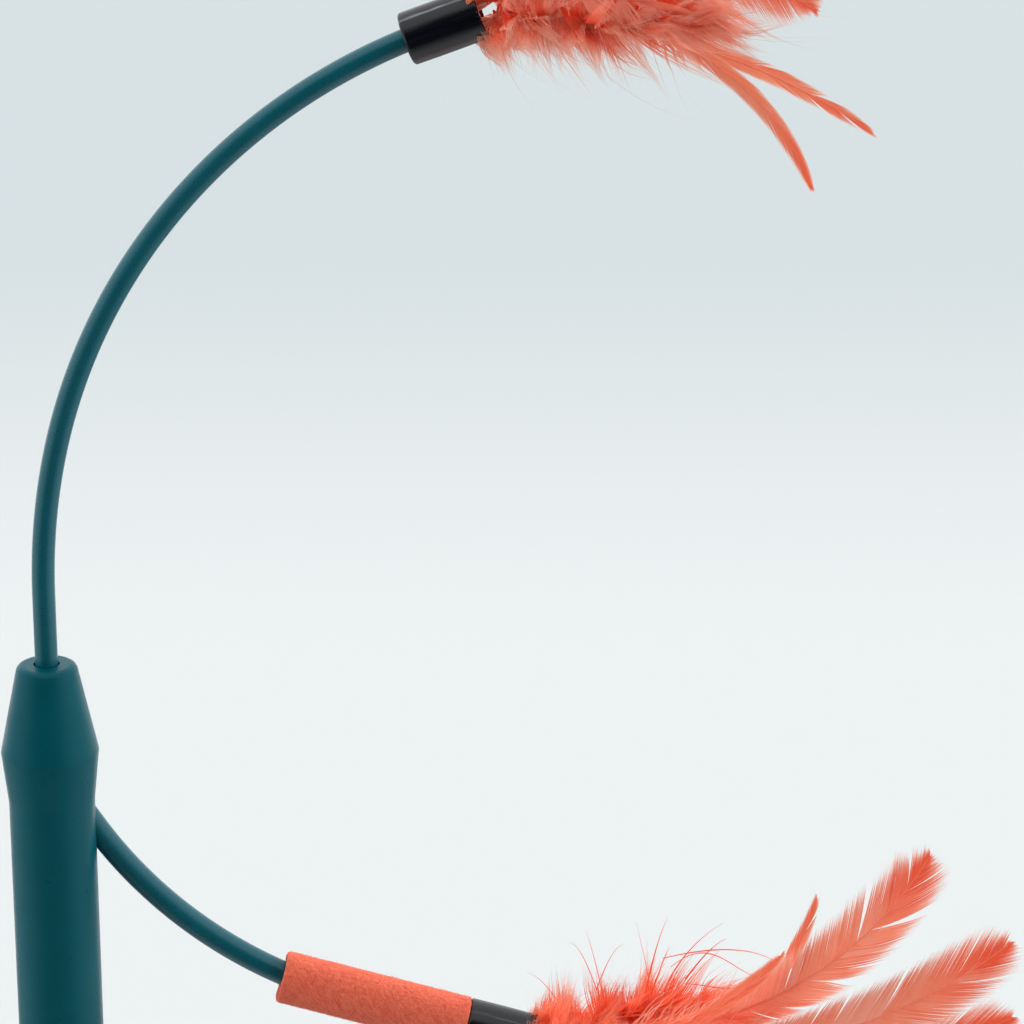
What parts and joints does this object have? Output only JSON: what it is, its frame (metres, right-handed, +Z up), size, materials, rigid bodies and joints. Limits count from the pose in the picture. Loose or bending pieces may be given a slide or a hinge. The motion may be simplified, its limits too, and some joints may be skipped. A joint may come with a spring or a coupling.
{
  "type": "cat teaser wand",
  "caption": "Cat teaser wand: a soft-grip handle with an upper and a lower sprung, bent rod, each ending in a ferrule that holds a bunch of feathers and down.",
  "frame": {"origin": "centre of the flat butt face of the handle", "axes": "+Z runs up the handle's axis to its nose; both arms reach towards +X in planes parallel to XZ; +Y is the side away from the viewer, where the lower arm leaves the handle"},
  "size_m": [0.2804, 0.0562, 0.4275],
  "materials": {
    "soft_grip": "matte teal thermoplastic rubber",
    "core_plastic": "dark moulded plastic, hidden",
    "cap_plastic": "matte teal moulded plastic",
    "bush_rubber": "dark rubber",
    "crimp_brass": "plain brass",
    "spring_wire": "drawn spring wire",
    "rod_tube": "satin teal silicone tube",
    "shrink_black": "glossy black shrink tube",
    "felt": "coral wool felt",
    "thread": "wound thread, hidden",
    "glue": "hot-melt glue",
    "broad_feather": "dyed coral feather, thin and translucent",
    "narrow_feather": "dyed coral hackle",
    "down": "dyed coral down"
  },
  "bodies": {
    "handle": {"grip_sleeve": "soft_grip", "handle_core": "core_plastic", "butt_cap": "cap_plastic", "top_bush": "bush_rubber", "side_bush": "bush_rubber", "upper_crimp": "crimp_brass", "lower_crimp": "crimp_brass"},
    "upper_rod": {"upper_tube": "rod_tube", "upper_wire": "spring_wire"},
    "upper_lure": {"upper_ferrule": "shrink_black", "upper_binding": "thread", "upper_glue": "glue", "upper_broad_1": "broad_feather", "upper_broad_2": "broad_feather", "upper_broad_3": "broad_feather", "upper_narrow_1": "narrow_feather", "upper_narrow_2": "narrow_feather", "upper_plume_1": "down", "upper_plume_2": "down", "upper_plume_3": "down", "upper_plume_4": "down"},
    "lower_rod": {"lower_tube": "rod_tube", "lower_wire": "spring_wire"},
    "lower_lure": {"felt_sleeve": "felt", "lower_ferrule": "shrink_black", "lower_binding": "thread", "lower_glue": "glue", "lower_broad_1": "broad_feather", "lower_broad_2": "broad_feather", "lower_broad_3": "broad_feather", "lower_narrow_1": "narrow_feather", "lower_narrow_2": "narrow_feather", "lower_plume_1": "down", "lower_plume_2": "down", "lower_plume_3": "down", "lower_plume_4": "down"}
  },
  "joints": [
    {"name": "upper_sway", "type": "hinge", "parent": "handle", "child": "upper_rod", "pos_m": [0, 0, 0.17], "axis": [1, 0, 0], "range_deg": [-30, 30], "stiffness_Nm_per_rad": 0.7, "deforming": ["upper_tube", "upper_wire"]},
    {"name": "upper_flex", "type": "hinge", "parent": "upper_rod", "child": "upper_lure", "pos_m": [0.01024, 0, 0.2289], "axis": [0, 1, 0], "range_deg": [-30, 25], "stiffness_Nm_per_rad": 0.7, "deforming": ["upper_tube", "upper_wire"]},
    {"name": "lower_sway", "type": "hinge", "parent": "handle", "child": "lower_rod", "pos_m": [0.01672, 0.004, 0.09284], "axis": [0.7925, 0, 0.6099], "range_deg": [-30, 30], "stiffness_Nm_per_rad": 0.9, "deforming": ["lower_tube", "lower_wire"]},
    {"name": "lower_flex", "type": "hinge", "parent": "lower_rod", "child": "lower_lure", "pos_m": [0.03768, 0.004, 0.07148], "axis": [0, 1, 0], "range_deg": [-15, 30], "stiffness_Nm_per_rad": 0.9, "deforming": ["lower_tube", "lower_wire"]}
  ]
}
